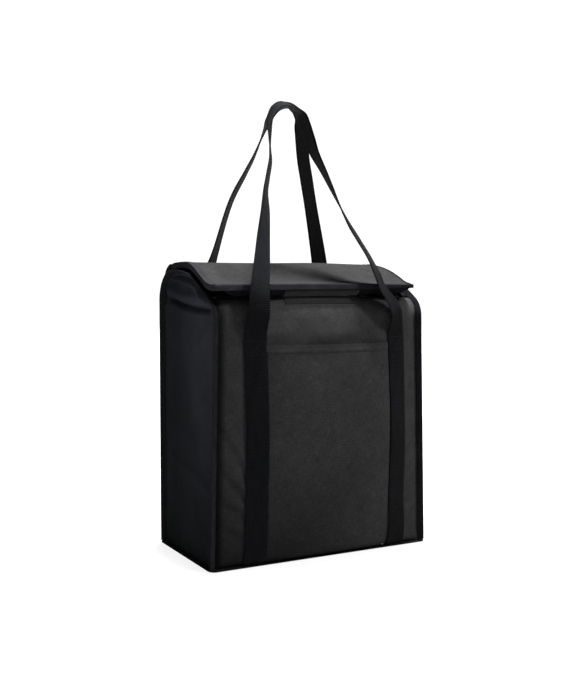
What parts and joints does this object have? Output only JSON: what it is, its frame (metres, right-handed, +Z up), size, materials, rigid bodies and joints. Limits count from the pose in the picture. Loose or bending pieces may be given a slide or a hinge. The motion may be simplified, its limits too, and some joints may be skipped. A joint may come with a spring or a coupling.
{
  "type": "cooler tote bag",
  "caption": "Insulated cooler tote bag with a sloping flap lid, a front slip pocket and two webbing handles.",
  "frame": {"origin": "middle of the flat underside, on the floor", "axes": "+Z up, -Y towards the front with the pocket, +X to the right when facing the front"},
  "size_m": [0.3504, 0.2333, 0.6541],
  "materials": {
    "canvas": "charcoal woven polyester canvas",
    "side_cloth": "smooth black polyester",
    "tape": "black grosgrain binding",
    "lid_tape": "dark grey binding",
    "webbing": "ribbed black polypropylene webbing",
    "thread": "black sewing thread",
    "foam": "white closed-cell foam",
    "lining": "silver-grey wipe-clean sheet",
    "board": "stiff black plastic board",
    "hook_and_loop": "black hook and loop tape"
  },
  "bodies": {
    "root": {"front_panel": "canvas", "back_panel": "canvas", "bottom_panel": "canvas", "pocket_panel": "canvas", "pocket_hem": "canvas", "left_side_panel": "side_cloth", "right_side_panel": "side_cloth", "front_insulation": "foam", "back_insulation": "foam", "left_insulation": "foam", "right_insulation": "foam", "bottom_insulation": "foam", "front_lining": "lining", "back_lining": "lining", "left_lining": "lining", "right_lining": "lining", "bottom_lining": "lining", "base_board": "board", "left_seam_binding": "tape", "right_seam_binding": "tape", "bottom_binding": "tape", "front_mouth_binding": "tape", "left_mouth_binding": "tape", "right_mouth_binding": "tape", "front_left_strap": "webbing", "front_right_strap": "webbing", "back_left_strap": "webbing", "back_right_strap": "webbing", "front_left_bar_tack": "thread", "front_right_bar_tack": "thread", "back_left_bar_tack": "thread", "back_right_bar_tack": "thread", "loop_strip": "hook_and_loop"},
    "lid": {"lid_cover": "canvas", "lid_insulation": "foam", "lid_lining": "lining", "lid_binding": "lid_tape", "hook_strip": "hook_and_loop"},
    "front_handle_legs": {"front_left_leg": "webbing", "front_right_leg": "webbing"},
    "front_handle": {"front_handle_loop": "webbing"},
    "back_handle_legs": {"back_left_leg": "webbing", "back_right_leg": "webbing"},
    "back_handle": {"back_handle_loop": "webbing"}
  },
  "joints": [
    {"name": "lid_hinge", "type": "hinge", "parent": "root", "child": "lid", "pos_m": [0, 0.06, 0.4178], "axis": [-1, 0, 0], "range_deg": [0, 105]},
    {"name": "front_handle_lean", "type": "hinge", "parent": "root", "child": "front_handle_legs", "pos_m": [0, -0.107, 0.316], "axis": [1, 0, 0], "range_deg": [0, 68.25]},
    {"name": "front_handle_drop", "type": "hinge", "parent": "front_handle_legs", "child": "front_handle", "pos_m": [0, -0.117, 0.357], "axis": [1, 0, 0], "range_deg": [0, 130]},
    {"name": "back_handle_lean", "type": "hinge", "parent": "root", "child": "back_handle_legs", "pos_m": [0, 0.095, 0.316], "axis": [-1, 0, 0], "range_deg": [0, 14]},
    {"name": "back_handle_drop", "type": "hinge", "parent": "back_handle_legs", "child": "back_handle", "pos_m": [0, 0.1015, 0.357], "axis": [-1, 0, 0], "range_deg": [0, 170]}
  ],
  "couplings": [
    {"joint": "front_handle_lean", "follows": "lid_hinge", "ratio": 0.65},
    {"joint": "back_handle_lean", "follows": "lid_hinge", "ratio": 0.13}
  ]
}
